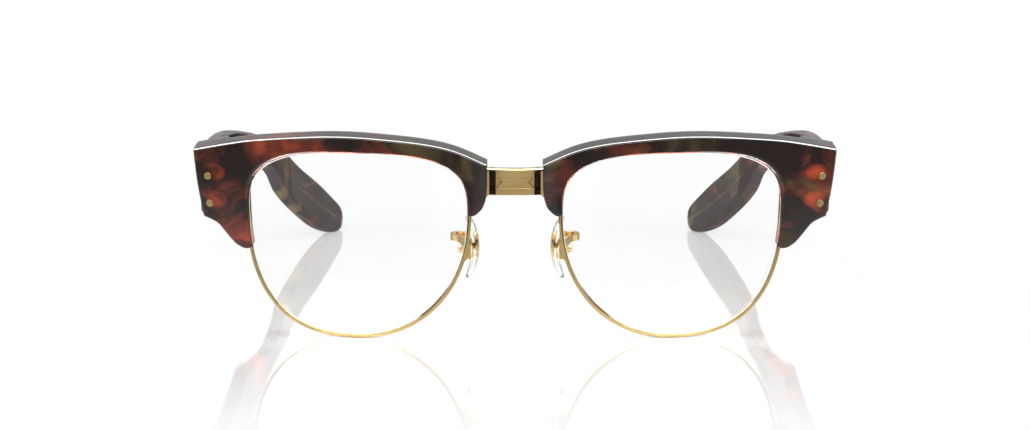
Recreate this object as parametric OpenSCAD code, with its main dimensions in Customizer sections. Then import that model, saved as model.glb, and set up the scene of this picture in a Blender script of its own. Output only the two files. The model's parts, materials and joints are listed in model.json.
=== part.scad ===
// Browline spectacles: two acetate brows and metal eyewires joined by a metal bridge,
// two riveted acetate temples on five-knuckle hinges and two rocking silicone nose pads.
// +X is the wearer's left, +Y runs back along the temples, +Z is up.
// The origin is the middle of the footprint, on the surface that rims and ear tips stand on.
// The left half is drawn, and the right half is its mirror image.

/* [Front] */
// Gap between the two eyewires at their nearest
bridge_gap = 20.2; // [18:0.2:26]
// Width of one eyewire, outside
eye_w = 52.8; // [44:0.5:62]
// Height of one eyewire, outside
eye_h = 46.2; // [38:0.2:55]
// Length of the end piece past the eyewire
end_len = 12; // [10:0.5:16]
// Height of the brow above the eyewire at its crest
brow_rise = 3; // [2:0.25:5]
// Thickness of the brow, front to back
brow_t = 6; // [5:0.25:7.5]
// Extra thickness of the end piece behind the brow
end_boss = 2; // [1:0.25:3]
// Radius that the front wraps round the face
wrap_r = 350; // [280:10:500]
// Lean of the front's top towards the front, in degrees
front_tilt = 7.5; // [5:0.5:11]

/* [Eyewire and lens] */
// Radial thickness of the eyewire
rim_t = 0.9; // [0.9:0.05:1.5]
// Depth of the eyewire, front to back
rim_d = 1.8; // [1.6:0.1:2.4]
// Curve radius of the lens
lens_r = 130; // [100:5:180]
// Thickness of the lens
lens_t = 1.9; // [1.5:0.1:2.5]
// Depth of the groove that holds the lens
groove = 0.5; // [0.4:0.05:0.7]
// How far the lens sits in front of the middle of the brow
lens_fore = 1.2; // [0.6:0.1:1.5]
// How far the brow reaches over the eyewire
brow_lip = 0.9; // [0.7:0.05:1]

/* [Bridge] */
// Gap between the two brows
bridge_w = 12.8; // [11:0.2:16]
// Height of the bridge plate
bridge_h = 6.4; // [5:0.2:8]
// Width of the raised centre plate
plate_w = 9; // [7:0.5:10]

/* [Nose pads] */
// Height of a pad
pad_h = 15.6; // [13:0.2:18]
// Width of a pad, front to back
pad_w = 8; // [7:0.2:9]
// Thickness of a pad in its middle
pad_t = 1.3; // [1.2:0.1:1.6]
// Gap between the two pads
pad_gap = 16.8; // [15:0.2:20]
// Height of the pad screws up the front
pad_up = 20.8; // [18:0.1:24]
// Radius of a pad screw
pad_pin_r = 0.45; // [0.4:0.05:0.55]

/* [Temples] */
// Length of a temple from its hinge to the start of the ear bend
arm_len = 96; // [85:1:112]
// Height of a temple at the hinge
temple_h = 16; // [12:0.5:17]
// Thickness of a temple
temple_t = 4; // [3.4:0.1:4.6]
// How far the ear tip bends inwards
tip_in = 17; // [8:0.5:20]
// Radius of the core wire
core_r = 0.6; // [0.5:0.05:0.8]

/* [Hinges] */
// Height of one hinge knuckle
knuckle_h = 0.9; // [0.8:0.05:1]
// Outer radius of a knuckle
knuckle_r = 1.4; // [1.25:0.05:1.5]
// Radius of the hinge screw
pin_r = 0.6; // [0.5:0.05:0.7]
// Thickness of a hinge leaf
leaf_t = 1; // [0.8:0.05:1.2]
// Radius of a rivet
rivet_r = 0.65; // [0.5:0.05:0.75]

/* [Clearances] */
// Gap between the temple's end and the end piece when open
mitre_gap = 0.2; // [0.15:0.05:0.4]
// Radial play of a turning part on its screw
turn_play = 0.05; // [0.03:0.01:0.08]
// Play round parts that are only assembled
seat_play = 0.03; // [0.02:0.01:0.05]
// Sideways play between parts that turn past each other
side_play = 0.06; // [0.05:0.01:0.1]

/* [Hidden] */

acetate = [0.17, 0.11, 0.10];
gold = [0.80, 0.66, 0.42];
steel = [0.75, 0.75, 0.77];
clear = [0.85, 0.92, 0.95, 0.4];
silicone = [0.90, 0.93, 0.95, 0.6];

far = 40;         // half depth of a cutting block
tall = 90;        // height of a cutting block
wrap_n = 720;     // facets of the wrap curve
lens_n = 360;     // facets of the lens curve
round_n = 48;     // facets of small round parts

// ---- outlines on the front, as seen from the front: x from the nose outwards, w up the front
eye_in = bridge_gap / 2;
eye_out = eye_in + eye_w;
eye_mid = eye_in + 0.524 * eye_w;
eye_wide = 0.672 * eye_h;
end_x = eye_out + end_len;
nose_x = bridge_w / 2;

function power(v, n) = sign(v) * pow(abs(v), 2 / n);
function eye_point(a) =
    let (c = cos(a), s = sin(a))
    let (half_w = c > 0 ? eye_out - eye_mid : eye_mid - eye_in)
    let (half_h = s > 0 ? eye_h - eye_wide : eye_wide)
    let (n = s > 0 ? (c > 0 ? 2.8 : 3.2) : (c > 0 ? 2.5 : 2.1))
    [eye_mid + half_w * power(c, n), eye_wide + half_h * power(s, n)];
eye_steps = 96;
eye_line = [for (i = [0 : eye_steps - 1]) eye_point((i + 0.5) * 360 / eye_steps)];

function unit(v) = v / norm(v);
function spread(line, d) = [
    for (i = [0 : len(line) - 1])
        let (a = line[(i + len(line) - 1) % len(line)], b = line[(i + 1) % len(line)])
        let (t = unit(b - a))
        line[i] + d * [t[1], -t[0]]
];

// a smooth curve through points
function curve_at(p0, p1, p2, p3, t) =
    0.5 * (2 * p1 + (p2 - p0) * t + (2 * p0 - 5 * p1 + 4 * p2 - p3) * t * t
    + (3 * p1 - p0 - 3 * p2 + p3) * t * t * t);
// all but the last point, so that runs join end to end
function curve(pts, steps) = [
    for (i = [0 : len(pts) - 2], k = [0 : steps - 1])
        curve_at(pts[max(i - 1, 0)], pts[i], pts[i + 1], pts[min(i + 2, len(pts) - 1)], k / steps)
];
function curve_whole(pts, steps) = concat(curve(pts, steps), [pts[len(pts) - 1]]);

// brow outline, counted down from the top of the eyewire
brow_top = [
    [nose_x, -3.1], [eye_in + 0.07 * eye_w, 0.1], [eye_in + 0.21 * eye_w, 0.57 * brow_rise],
    [eye_in + 0.41 * eye_w, 0.9 * brow_rise], [eye_in + 0.56 * eye_w, brow_rise],
    [eye_in + 0.71 * eye_w, 0.9 * brow_rise], [eye_in + 0.945 * eye_w, 0.5 * brow_rise],
    [eye_out + 4, 0.3], [end_x, -1.5]
];
brow_end = [[end_x, -1.5], [end_x - 0.3, -6.2], [end_x - 0.8, -11.2], [end_x - 1.8, -17.6]];
brow_low = [
    [end_x - 1.8, -17.6], [end_x - 4, -18.5], [end_x - 5.5, -19.5], [eye_out + 4, -22.6],
    [eye_out + 2.2, -24.3], [eye_out - 0.5, -24.9], [eye_out - 6, -22]
];
brow_inside = [[eye_out - 6, -22], [eye_mid, -16], [eye_in + 5, -11]];
brow_nose = [
    [eye_in + 5, -11], [eye_in + 0.5, -15.3], [eye_in - 2.1, -14.1], [nose_x + 0.5, -12],
    [nose_x + 0.1, -9.4], [nose_x, -5.2], [nose_x, -3.1]
];
brow_drop = concat(curve(brow_top, 4), curve(brow_end, 3), curve(brow_low, 4),
    curve(brow_inside, 1), curve(brow_nose, 4));
brow_line = [for (q = brow_drop) [q[0], eye_h + q[1]]];

// ---- placing: the front is drawn upright and wrapped, then leaned forward
function wrap_depth(x) = wrap_r - sqrt(wrap_r * wrap_r - x * x);
lean_y = wrap_depth(eye_mid);
lens_x = eye_in + eye_w / 2;
lens_phi = asin(lens_x / wrap_r);
rim_mean = (eye_w + eye_h) / 4;
lens_back = sqrt(lens_r * lens_r - rim_mean * rim_mean);
lens_middle = [
    lens_x - lens_back * sin(lens_phi),
    wrap_depth(lens_x) - lens_fore + lens_back * cos(lens_phi), eye_h / 2
];
// depth of the lens curve at a place on the front
function lens_depth(x, w, proud) = lens_middle[1]
    - sqrt(pow(lens_r + proud, 2) - pow(x - lens_middle[0], 2) - pow(w - lens_middle[2], 2));
function front_y(d, w) = lean_y + (d - lean_y) * cos(front_tilt) - w * sin(front_tilt);
function front_z(d, w) = (d - lean_y) * sin(front_tilt) + w * cos(front_tilt);
rim_lift = -min([for (q = eye_line) front_z(lens_depth(q[0], q[1], rim_d / 2), q[1])]);
front_most = min([for (q = brow_line) front_y(wrap_depth(q[0]) - brow_t / 2, q[1])]);

// ---- hinge axis, behind the middle of the end piece
hinge_w = eye_h - 11.2;
hinge_x = end_x - temple_t - 0.7;
end_back = brow_t / 2 + end_boss;
web_len = 0.45;
hinge_y = front_y(wrap_depth(hinge_x) + end_back, hinge_w) + knuckle_r + web_len;
hinge_z = rim_lift + front_z(wrap_depth(hinge_x) + end_back, hinge_w);
knuckles = 5;
stack_h = knuckles * knuckle_h;

// ---- temple, from the hinge axis: its outer face starts flush with the end piece
outer_x = end_x - hinge_x;
inner_x = outer_x + 0.3 - temple_t;
half_h = temple_h / 2;
drop = hinge_z - half_h;
// each station: top y, top z, bottom y, bottom z, step out of the outer face, share of thickness
stations = [
    [-6, half_h - 0.3, -6, -half_h - 0.3, -0.4, 1],
    [0, half_h - 0.2, 0, -half_h - 0.3, 0.3, 1],
    [14, half_h, 14, -half_h - 0.3, 1.2, 1],
    [30, half_h - 0.4, 30, -half_h - 0.3, 1.9, 1],
    [44, half_h - 1.6, 44, -half_h - 1.7, 2.1, 1],
    [52, half_h - 2.6, 52, -half_h - 3.5, 2.1, 1],
    [57, half_h - 3.3, 57, -half_h - 4.9, 2.0, 1],
    [59, half_h - 3.6, 58.5, -half_h - 4.7, 1.9, 1],
    [62, half_h - 4.1, 61.5, -half_h - 2.7, 1.9, 0.97],
    [arm_len - 22, half_h - 5.9, arm_len - 23, -half_h - 2.1, 1.5, 0.95],
    [arm_len - 10, half_h - 8.3, arm_len - 11, -half_h - 1.4, 0.8, 0.95],
    [arm_len, half_h - 10.6, arm_len - 4, -half_h - 2, 0, 0.95],
    [arm_len + 9, half_h - 0.47 * drop, arm_len + 3, -half_h - 0.21 * drop, -0.09 * tip_in, 0.97],
    [arm_len + 16, half_h - 0.59 * drop, arm_len + 9.5, -half_h - 0.42 * drop, -0.16 * tip_in, 1],
    [arm_len + 23, half_h - 0.78 * drop, arm_len + 16, -half_h - 0.63 * drop, -0.34 * tip_in, 1],
    [arm_len + 32, half_h - 1.01 * drop, arm_len + 25, -half_h - 0.87 * drop, -0.62 * tip_in, 1],
    [arm_len + 39, half_h - 1.21 * drop, arm_len + 32, -half_h - 0.98 * drop, -0.83 * tip_in, 1],
    [arm_len + 42.5, half_h - 1.32 * drop, arm_len + 36, -half_h - drop, -0.94 * tip_in, 0.95],
    [arm_len + 44.4, half_h - 1.43 * drop, arm_len + 40.5, -half_h - 0.98 * drop, -tip_in, 0.8],
    [arm_len + 44.6, half_h - 1.48 * drop, arm_len + 43.4, -half_h - 0.92 * drop, -1.03 * tip_in, 0.6]
];
arm_line = curve_whole(stations, 2);
tip_most = hinge_y + max([for (q = arm_line) max(q[0], q[2])]);
mid_y = (front_most + tip_most) / 2;

module on_front()
    translate([0, lean_y - mid_y, rim_lift]) rotate([front_tilt, 0, 0])
        translate([0, -lean_y, 0]) children();
// a place on the wrapped front, with -Y pointing out of the brow's face
module on_wrap(x, w)
    translate([0, wrap_r, w]) rotate([0, 0, asin(x / wrap_r)]) translate([0, -wrap_r, 0]) children();
module at_hinge() translate([hinge_x, hinge_y - mid_y, hinge_z]) children();
module right_side() mirror([1, 0, 0]) children();
module both_sides() { children(); right_side() children(); }

module slab(line) rotate([90, 0, 0]) linear_extrude(height = 2 * far, center = true) polygon(line);
// a sheet that follows the wrap, from so far in front of it to so far behind it
module wrap_sheet(front, back)
    translate([0, wrap_r, -tall / 2]) difference() {
        cylinder(r = wrap_r + front, h = 2 * tall, $fn = wrap_n);
        translate([0, 0, -1]) cylinder(r = wrap_r - back, h = 2 * tall + 2, $fn = wrap_n);
    }
module lens_sheet(front, back)
    translate(lens_middle) difference() {
        sphere(r = lens_r + front, $fn = lens_n);
        sphere(r = lens_r - back, $fn = lens_n);
    }
// a block from corner to corner
module block(low, high) translate(low) cube(high - low);
module rod_y(r, from, to)
    translate([0, from, 0]) rotate([-90, 0, 0]) cylinder(r = r, h = to - from, $fn = round_n);
module rod_x(r, from, to)
    translate([from, 0, 0]) rotate([0, 90, 0]) cylinder(r = r, h = to - from, $fn = round_n);

// ---- places of the fasteners on the front: x, w
rivet_spots = [[end_x - 3.9, hinge_w + 3.5], [end_x - 4.1, hinge_w - 3.1]];
bridge_screw = [nose_x + 3.8, eye_h - 7.2];
lock_w = eye_wide + 3;
lock_screw = [eye_out + 2, lock_w + 5];
brow_screw_spots = [bridge_screw, lock_screw];
screw_r = 0.6;
screw_deep = 2.6;
head_r = 1;
head_t = 0.6;
tab_t = 0.8;

// ---- brow
leaf_x = [end_x - 6.1, end_x - 1.9];
leaf_w = [hinge_w - 4.6, hinge_w + 5];
module leaf_plate(grow, back_more = 0)
    intersection() {
        slab([
            [leaf_x[0] - grow, leaf_w[0] - grow], [leaf_x[1] + grow, leaf_w[0] - grow],
            [leaf_x[1] + grow, leaf_w[1] + grow], [leaf_x[0] - grow, leaf_w[1] + grow]
        ]);
        wrap_sheet(leaf_t - end_back + grow, end_back + back_more);
    }
module rim_room(grow)
    intersection() {
        slab(spread(eye_line, grow));
        lens_sheet(rim_d / 2 + grow, rim_d / 2 + grow);
    }
lock_y = lens_depth(eye_out, lock_w, 0);
lock_back = wrap_depth(eye_out + 2) + brow_t / 2;
lock_split = 0.3;
lock_h = 2.5;
lock_out = 3.4;
module lock_room()
    union() {
        block([eye_out - 4, lock_y - rim_d / 2 - 0.3, lock_w - 4.2],
            [eye_out + lock_out + 0.2, lock_back + 6, lock_w + 3.2]);
        block([eye_out + 0.3, lock_back - tab_t - 0.1, lock_w + 3],
            [eye_out + lock_out + 0.2, lock_back + 6, lock_w + 6.6]);
    }
module brow()
    color(acetate) on_front() difference() {
        intersection() {
            slab(brow_line);
            union() {
                wrap_sheet(brow_t / 2, brow_t / 2);
                intersection() {
                    wrap_sheet(brow_t / 2, end_back);
                    block([eye_out + 4.2, -far, 0], [end_x + 9, far, tall]);
                }
            }
        }
        slab(spread(eye_line, -brow_lip));
        rim_room(seat_play);
        lock_room();
        leaf_plate(seat_play, 3);
        for (s = brow_screw_spots)
            on_wrap(s[0], s[1]) rod_y(screw_r + seat_play, brow_t / 2 - screw_deep - 0.3, brow_t);
        for (s = rivet_spots)
            on_wrap(s[0], s[1]) rod_y(rivet_r + seat_play, -brow_t, brow_t);
    }
module left_brow() brow();
module right_brow() right_side() brow();

// ---- eyewire and lens
bevel = 0.4;
module eyewire()
    color(gold) on_front() difference() {
        rim_room(0);
        slab(spread(eye_line, -rim_t));
        intersection() {
            slab(spread(eye_line, groove - rim_t));
            lens_sheet(bevel + seat_play, bevel + seat_play);
        }
        block([eye_out - 4, -far, lock_w - lock_split / 2], [eye_out + 4, far, lock_w + lock_split / 2]);
    }
module left_eyewire() eyewire();
module right_eyewire() right_side() eyewire();

module lens()
    color(clear) on_front() union() {
        intersection() {
            slab(spread(eye_line, -rim_t - seat_play));
            lens_sheet(lens_t / 2, lens_t / 2);
        }
        intersection() {
            slab(spread(eye_line, groove - rim_t - seat_play));
            lens_sheet(bevel, bevel);
        }
    }
module left_lens() lens();
module right_lens() right_side() lens();

// ---- lock blocks that close the eyewire round the lens
lock_x = eye_out + 1.9;
module lock_pin_at() translate([lock_x, lock_y + 0.9, lock_w]) children();
module lock_upper()
    color(gold) on_front() difference() {
        union() {
            block([eye_out - 3, lock_y - rim_d / 2, lock_w + lock_split / 2],
                [eye_out + lock_out, lock_back - 0.1, lock_w + lock_h]);
            block([eye_out + 0.5, lock_back - tab_t, lock_w + lock_h - 0.2],
                [eye_out + lock_out, lock_back - 0.1, lock_w + 6.4]);
        }
        slab(eye_line);
        lock_pin_at() cylinder(r = screw_r + seat_play, h = tall, $fn = round_n);
        on_wrap(lock_screw[0], lock_screw[1]) rod_y(screw_r + seat_play, 0, brow_t);
    }
module left_lock_upper() lock_upper();
module right_lock_upper() right_side() lock_upper();
module lock_lower()
    color(gold) on_front() difference() {
        block([eye_out - 3, lock_y - rim_d / 2, lock_w - lock_h],
            [eye_out + lock_out, lock_back - 0.1, lock_w - lock_split / 2]);
        slab(eye_line);
        lock_pin_at() translate([0, 0, -tall / 2])
            cylinder(r = screw_r + seat_play, h = tall, $fn = round_n);
    }
module left_lock_lower() lock_lower();
module right_lock_lower() right_side() lock_lower();
module lock_screws()
    color(steel) both_sides() on_front() lock_pin_at() {
        translate([0, 0, -lock_h]) cylinder(r = screw_r, h = 2 * lock_h - 0.2, $fn = round_n);
        translate([0, 0, -lock_h - head_t]) cylinder(r = head_r, h = head_t, $fn = round_n);
    }

// ---- bridge
bridge_top = eye_h - 3.9;
bridge_low = bridge_top - bridge_h;
bridge_face = 1.6;
bridge_back = 1.4;
plate_face = 2.8;
rib_h = 0.6;
tab_gap = 0.05;
module bar(x0, w0, x1, w1, front, back)
    intersection() {
        block([x0, -far, w0], [x1, far, w1]);
        wrap_sheet(front, back);
    }
// a raised rib with short slanted ends
module rib(w)
    intersection() {
        slab([
            [-3.4, w - 0.9], [-2.6, w - rib_h / 2], [2.6, w - rib_h / 2], [3.4, w - 0.9],
            [3.4, w], [2.8, w + rib_h / 2], [-2.8, w + rib_h / 2], [-3.4, w]
        ]);
        wrap_sheet(plate_face + 0.35, -bridge_face);
    }
module bridge()
    color(gold) on_front() difference() {
        union() {
            bar(-nose_x - 1.6, bridge_low, nose_x + 1.6, bridge_top, bridge_face, bridge_back);
            bar(-plate_w / 2, bridge_low + 0.3, plate_w / 2, bridge_top - 0.3, plate_face, 0);
            rib(bridge_top - 0.37 * bridge_h);
            rib(bridge_top - 0.76 * bridge_h);
            for (side = [-1, 1]) {
                low_x = side > 0 ? nose_x - 1.7 : -bridge_screw[0] - 1.9;
                bar(low_x, bridge_screw[1] - 1.9, low_x + 7.4, bridge_screw[1] + 1.9,
                    -brow_t / 2 - tab_gap, brow_t / 2 + tab_gap + tab_t);
                wall_x = side > 0 ? nose_x - 1.7 : -nose_x + seat_play;
                bar(wall_x, bridge_screw[1] - 1.9, wall_x + 1.7 - seat_play, bridge_screw[1] + 1.9,
                    0, brow_t / 2 + tab_gap + tab_t);
            }
        }
        both_sides() intersection() {
            slab(spread(brow_line, -seat_play));
            wrap_sheet(brow_t / 2, brow_t / 2 + tab_gap / 2);
        }
        both_sides() on_wrap(bridge_screw[0], bridge_screw[1]) rod_y(screw_r + seat_play, 0, 2 * brow_t);
    }
module screw_in_brow(s, under)
    on_wrap(s[0], s[1]) {
        rod_y(screw_r, brow_t / 2 - screw_deep, brow_t / 2 + under);
        rod_y(head_r, brow_t / 2 + under, brow_t / 2 + under + head_t);
    }
module brow_screws()
    color(steel) both_sides() on_front() {
        screw_in_brow(bridge_screw, tab_gap + tab_t);
        screw_in_brow(lock_screw, 0.1);
    }

// ---- nose pad, its arm and its screw, from the pad's pivot
pad_in = pad_gap / 2;
pad_far = 5;
box_x = pad_in + 2;
box_w = 2.4;
box_wall = 0.55;
tab_x = box_x + box_wall + side_play;
tab_thick = box_w - 2 * box_wall - 2 * side_play;
pad_off = 0.8;      // middle of the pad behind its screw
pad_sag = 2.6;
plate_in = pad_in + pad_t - 0.55;
insert_t = 0.4;
neck_y = 2.5;
neck_t = 1.1;
module at_pad() on_front() translate([0, pad_far, pad_up]) children();
function oval(a, b, n) = [for (i = [0 : n - 1]) [a * cos(i * 360 / n), b * sin(i * 360 / n)]];
// an upright oval plate across X
module oval_plate(x0, x1, y_mid, wide, high, z_mid = 0)
    translate([x0, y_mid, z_mid]) rotate([90, 0, 90])
        linear_extrude(height = x1 - x0) polygon(oval(wide / 2, high / 2, 48));
module insert_shape(grow)
    union() {
        oval_plate(plate_in - grow, plate_in + insert_t + grow, pad_off, 3.6 + 2 * grow, 7.2 + 2 * grow);
        block([plate_in - grow, 0, -0.6 - grow], [tab_x + tab_thick, neck_y + neck_t + grow, 0.6 + grow]);
    }
module pad_insert()
    color(gold) at_pad() difference() {
        union() {
            insert_shape(0);
            oval_plate(tab_x, tab_x + tab_thick, 0, 1.8, 5, -0.9);
        }
        block([plate_in + insert_t, -far, -tall], [tab_x, neck_y, tall]);
        rod_x(pad_pin_r + turn_play, 0, 2 * box_x);
    }
module left_pad_insert() pad_insert();
module right_pad_insert() right_side() pad_insert();
dome_r = (pow(pad_h / 2, 2) + pow(pad_sag, 2)) / (2 * pad_sag);
cup_r = dome_r + 1.5;
module pad()
    color(silicone) at_pad() difference() {
        intersection() {
            oval_plate(pad_in - 1, pad_in + 6, pad_off, pad_w, pad_h);
            translate([pad_in + dome_r, pad_off, 0]) sphere(r = dome_r, $fn = 192);
        }
        translate([pad_in + pad_t + cup_r, pad_off, 0]) sphere(r = cup_r, $fn = 192);
        insert_shape(seat_play);
    }
module left_pad() pad();
module right_pad() right_side() pad();

box_low = -2.3;
box_high = 2.8;
box_front = -2.1;
box_rear = 1.5;
arm_t = 0.6;
arm_h = 1.6;
arm_root = [eye_in + 1.3, lens_depth(eye_in + 1.3, pad_up + box_high, -rim_d / 2) - 0.15];
arm_path = [
    [arm_root[0], arm_root[1] - pad_far], [eye_in + 3, -pad_far + 2.6], [eye_in + 4.4, -pad_far + 3.6],
    [eye_in + 4.8, -pad_far + 4.9], [eye_in + 3.9, -pad_far + 5.8], [eye_in + 2.6, -pad_far + 5.9],
    [box_x + 1, -pad_far + 5.5]
];
arm_mid = curve_whole(arm_path, 4);
function side_of(line, d) = [
    for (i = [0 : len(line) - 1])
        let (t = unit(line[min(i + 1, len(line) - 1)] - line[max(i - 1, 0)]))
        line[i] + d * [t[1], -t[0]]
];
function backwards(line) = [for (i = [len(line) - 1 : -1 : 0]) line[i]];
module pad_arm()
    color(gold) difference() {
        at_pad() difference() {
            union() {
                block([box_x, box_front, box_low], [box_x + box_w, box_rear, box_high]);
                translate([0, 0, box_high - 0.5]) linear_extrude(height = arm_h)
                    polygon(concat(side_of(arm_mid, arm_t / 2), backwards(side_of(arm_mid, -arm_t / 2))));
            }
            block([box_x + box_wall, box_front + 0.5, box_low - 1],
                [box_x + box_w - box_wall, box_rear + 1, box_high - 0.5]);
            rod_x(pad_pin_r + seat_play, 0, 2 * box_x);
        }
        on_front() rim_room(0);
    }
module left_pad_arm() pad_arm();
module right_pad_arm() right_side() pad_arm();
module pad_screws()
    color(steel) both_sides() at_pad() {
        rod_x(pad_pin_r, box_x, box_x + box_w);
        rod_x(0.85, box_x + box_w, box_x + box_w + 0.7);
    }

// ---- hinges
function knuckle_z(i) = (i - (knuckles - 1) / 2) * knuckle_h;
module knuckle(i, tight)
    translate([0, 0, knuckle_z(i) - knuckle_h / 2 + tight])
        cylinder(r = knuckle_r, h = knuckle_h - 2 * tight, $fn = round_n);
module knuckle_web(i, tight, outline)
    translate([0, 0, knuckle_z(i) - knuckle_h / 2 + tight])
        linear_extrude(height = knuckle_h - 2 * tight) polygon(outline);
module front_leaf()
    color(gold) difference() {
        union() {
            on_front() leaf_plate(0);
            at_hinge() for (i = [0 : 2 : knuckles - 1]) {
                knuckle(i, 0);
                knuckle_web(i, 0, [[-0.9, 0], [-0.9, -2.45], [0.9, -2.45], [0.9, 0]]);
            }
        }
        at_hinge() translate([0, 0, -stack_h])
            cylinder(r = pin_r + seat_play, h = 2 * stack_h, $fn = round_n);
        on_front() for (s = rivet_spots) on_wrap(s[0], s[1]) rod_y(rivet_r + seat_play, 0, 2 * brow_t);
    }
module left_front_leaf() front_leaf();
module right_front_leaf() right_side() front_leaf();
module front_rivets()
    color(gold) both_sides() on_front() for (s = rivet_spots) on_wrap(s[0], s[1]) {
        rod_y(rivet_r, -brow_t / 2, end_back);
        rod_y(rivet_r + 0.2, -brow_t / 2 - 0.2, -brow_t / 2);
        rod_y(rivet_r + 0.2, end_back, end_back + 0.25);
    }
module hinge_screws()
    color(steel) both_sides() at_hinge() {
        translate([0, 0, -stack_h / 2 - 0.2]) cylinder(r = pin_r, h = stack_h + 0.2, $fn = round_n);
        translate([0, 0, stack_h / 2]) cylinder(r = 1.1, h = 0.5, $fn = round_n);
    }

leaf_turn = 3.7;
temple_leaf_y = [1.6, 14];
temple_leaf_z = 3.5;
temple_rivets = [[9, 2.2], [9, -2.2]];
module turned_leaf() translate([inner_x, 0, 0]) rotate([0, 0, -leaf_turn]) children();
module temple_plate(grow, inward)
    turned_leaf() block([-inward, temple_leaf_y[0] - grow, -temple_leaf_z - grow],
        [leaf_t + grow, temple_leaf_y[1] + grow, temple_leaf_z + grow]);
module temple_leaf()
    color(gold) at_hinge() difference() {
        union() {
            temple_plate(0, 0);
            for (i = [1 : 2 : knuckles - 1]) {
                knuckle(i, side_play);
                knuckle_web(i, side_play, [
                    [-0.6, 0.6], [0.4, -0.6], [inner_x + leaf_t, 1.8], [inner_x + leaf_t, 3.2],
                    [inner_x + 0.1, 3.2]
                ]);
            }
        }
        translate([0, 0, -stack_h]) cylinder(r = pin_r + turn_play, h = 2 * stack_h, $fn = round_n);
        for (s = temple_rivets)
            turned_leaf() translate([0, s[0], s[1]]) rod_x(rivet_r + seat_play, -temple_t, temple_t);
    }
module left_temple_leaf() temple_leaf();
module right_temple_leaf() right_side() temple_leaf();
module temple_rivet_pair()
    color(gold) at_hinge() turned_leaf() for (s = temple_rivets) translate([0, s[0], s[1]]) {
        rod_x(rivet_r, 0, temple_t + 0.02);
        rod_x(rivet_r + 0.25, -0.3, 0);
        rod_x(rivet_r + 0.25, temple_t + 0.02, temple_t + 0.3);
    }
module left_temple_rivets() temple_rivet_pair();
module right_temple_rivets() right_side() temple_rivet_pair();

// ---- temples
edge_r = 1.2;
corner_n = 4;
function station_ring(q) =
    let (low = [q[2], q[3]], up = [q[0] - q[2], q[1] - q[3]], high = norm(up), t = temple_t * q[5])
    let (r = min(edge_r, high / 2 - 0.05, t / 2 - 0.05), face = outer_x + q[4])
    let (mids = [[r, r], [t - r, r], [t - r, high - r], [r, high - r]])
    [for (c = [0 : 3], k = [0 : corner_n - 1])
        let (a = 180 + 90 * c + 90 * k / (corner_n - 1))
        let (p = mids[c] + r * [cos(a), sin(a)])
        [face - t + p[0], low[0] + up[0] * p[1] / high, low[1] + up[1] * p[1] / high]];
module loft(rings)
    let (n = len(rings[0]), m = len(rings))
    polyhedron(
        points = [for (g = rings, p = g) p],
        faces = concat(
            [[for (k = [0 : n - 1]) k]],
            [[for (k = [n - 1 : -1 : 0]) (m - 1) * n + k]],
            [for (i = [0 : m - 2], k = [0 : n - 1])
                let (a = i * n + k, b = i * n + (k + 1) % n) [a, a + n, b + n]],
            [for (i = [0 : m - 2], k = [0 : n - 1])
                let (a = i * n + k, b = i * n + (k + 1) % n) [a, b + n, b]]
        )
    );
// core wire, shot into the middle of the temple
wire_line = [
    for (i = [2 : 2 : len(arm_line) - 7])
        let (q = arm_line[i])
        [outer_x + q[4] - temple_t * q[5] / 2, (q[0] + q[2]) / 2, (q[1] + q[3]) / 2]
];
function wire_ring(i, r) =
    let (a = wire_line[max(i - 1, 0)], b = wire_line[min(i + 1, len(wire_line) - 1)])
    let (t = unit(b - a), s = unit(cross(t, [0, 0, 1])), u = cross(s, t))
    [for (k = [0 : 9]) wire_line[i] + r * (cos(36 * k) * s + sin(36 * k) * u)];
module temple()
    color(acetate) difference() {
        intersection() {
            at_hinge() loft([for (q = arm_line) station_ring(q)]);
            on_front() translate([0, wrap_r, -tall])
                cylinder(r = wrap_r - end_back - mitre_gap, h = 3 * tall, $fn = wrap_n);
        }
        at_hinge() {
            temple_plate(seat_play, 2 * temple_t);
            translate([0, 0, -stack_h / 2 - 0.4])
                cylinder(r = knuckle_r + 0.35, h = stack_h + 1.2, $fn = round_n);
            block([-temple_t, 0, -stack_h / 2 - 0.2], [inner_x + leaf_t + 0.1, 3, stack_h / 2 + 0.2]);
            for (s = temple_rivets)
                turned_leaf() translate([0, s[0], s[1]]) rod_x(rivet_r + seat_play, 0, 2 * temple_t);
        }
    }
module left_temple() temple();
module right_temple() right_side() temple();
module core_wire()
    color(steel) at_hinge() loft([for (i = [1 : len(wire_line) - 1]) wire_ring(i, core_r)]);
module left_core_wire() core_wire();
module right_core_wire() right_side() core_wire();

left_brow();
right_brow();
left_eyewire();
right_eyewire();
left_lens();
right_lens();
bridge();
brow_screws();
left_lock_upper();
right_lock_upper();
left_lock_lower();
right_lock_lower();
lock_screws();
left_pad_arm();
right_pad_arm();
pad_screws();
left_pad();
right_pad();
left_pad_insert();
right_pad_insert();
left_front_leaf();
right_front_leaf();
front_rivets();
hinge_screws();
left_temple();
right_temple();
left_core_wire();
right_core_wire();
left_temple_leaf();
right_temple_leaf();
left_temple_rivets();
right_temple_rivets();
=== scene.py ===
import json
import math

import bmesh
import bpy
import numpy as np
from mathutils import Matrix, Vector
from mathutils.geometry import delaunay_2d_cdt


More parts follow.
